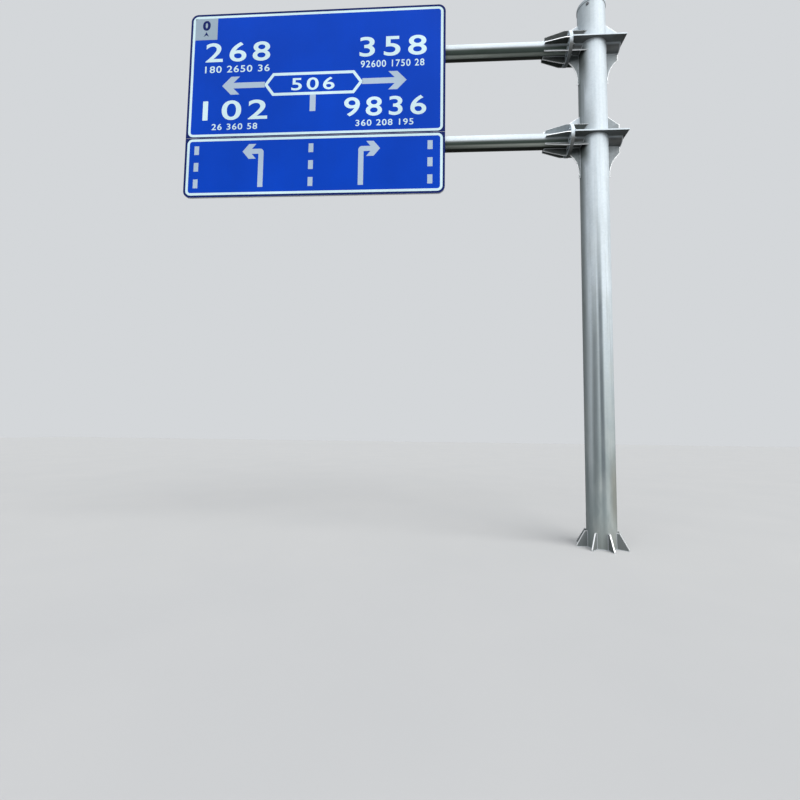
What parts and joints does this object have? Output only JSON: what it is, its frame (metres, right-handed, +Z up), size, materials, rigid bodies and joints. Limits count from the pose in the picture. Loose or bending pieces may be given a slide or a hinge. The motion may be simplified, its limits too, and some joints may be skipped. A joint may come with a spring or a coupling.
{
  "type": "cantilever sign gantry",
  "caption": "Round galvanised steel mast with two parallel flanged arms that carry a wide blue lane-direction sign over a road; bolted down by a ribbed base flange.",
  "frame": {"origin": "centre of the underside of the base flange, on the mast's axis", "axes": "+Z up along the mast, -X along the arms, -Y the way the sign faces"},
  "size_m": [6.657, 0.8, 8.177],
  "materials": {
    "galvanised_steel": "hot-dip galvanised, dull with faint spangle",
    "sign_aluminium": "mill finish sheet",
    "rail_aluminium": "extruded, matte",
    "bolt_steel": "galvanised fasteners",
    "blue_sheeting": "retroreflective sheeting, satin",
    "navy_sheeting": "retroreflective sheeting, satin",
    "white_sheeting": "retroreflective sheeting, satin",
    "grey_sheeting": "retroreflective sheeting, satin"
  },
  "bodies": {
    "root": {"base_flange": "galvanised_steel", "base_rib_1": "galvanised_steel", "base_rib_2": "galvanised_steel", "base_rib_3": "galvanised_steel", "base_rib_4": "galvanised_steel", "base_rib_5": "galvanised_steel", "base_rib_6": "galvanised_steel", "base_rib_7": "galvanised_steel", "base_rib_8": "galvanised_steel", "lower_arm_end_cap": "galvanised_steel", "lower_arm_flange": "galvanised_steel", "lower_arm_ribs": "galvanised_steel", "lower_arm_side_gussets": "galvanised_steel", "lower_arm_tube": "galvanised_steel", "lower_clamps": "galvanised_steel", "lower_collar_plate": "galvanised_steel", "lower_far_side_gussets": "galvanised_steel", "lower_pipe_end_disc": "galvanised_steel", "lower_pole_flange": "galvanised_steel", "lower_slanting_ribs": "galvanised_steel", "lower_through_pipe": "galvanised_steel", "pole_cap": "galvanised_steel", "pole_tube": "galvanised_steel", "sign_rail_1": "rail_aluminium", "sign_rail_2": "rail_aluminium", "sign_rail_3": "rail_aluminium", "sign_rail_4": "rail_aluminium", "sign_rail_5": "rail_aluminium", "sign_rail_6": "rail_aluminium", "sign_rail_7": "rail_aluminium", "sign_rail_8": "rail_aluminium", "sign_tray_lower": "sign_aluminium", "sign_tray_upper": "sign_aluminium", "upper_arm_end_cap": "galvanised_steel", "upper_arm_flange": "galvanised_steel", "upper_arm_ribs": "galvanised_steel", "upper_arm_side_gussets": "galvanised_steel", "upper_arm_tube": "galvanised_steel", "upper_clamps": "galvanised_steel", "upper_collar_plate": "galvanised_steel", "upper_far_side_gussets": "galvanised_steel", "upper_pipe_end_disc": "galvanised_steel", "upper_pole_flange": "galvanised_steel", "upper_slanting_ribs": "galvanised_steel", "upper_through_pipe": "galvanised_steel"}
  },
  "joints": []
}
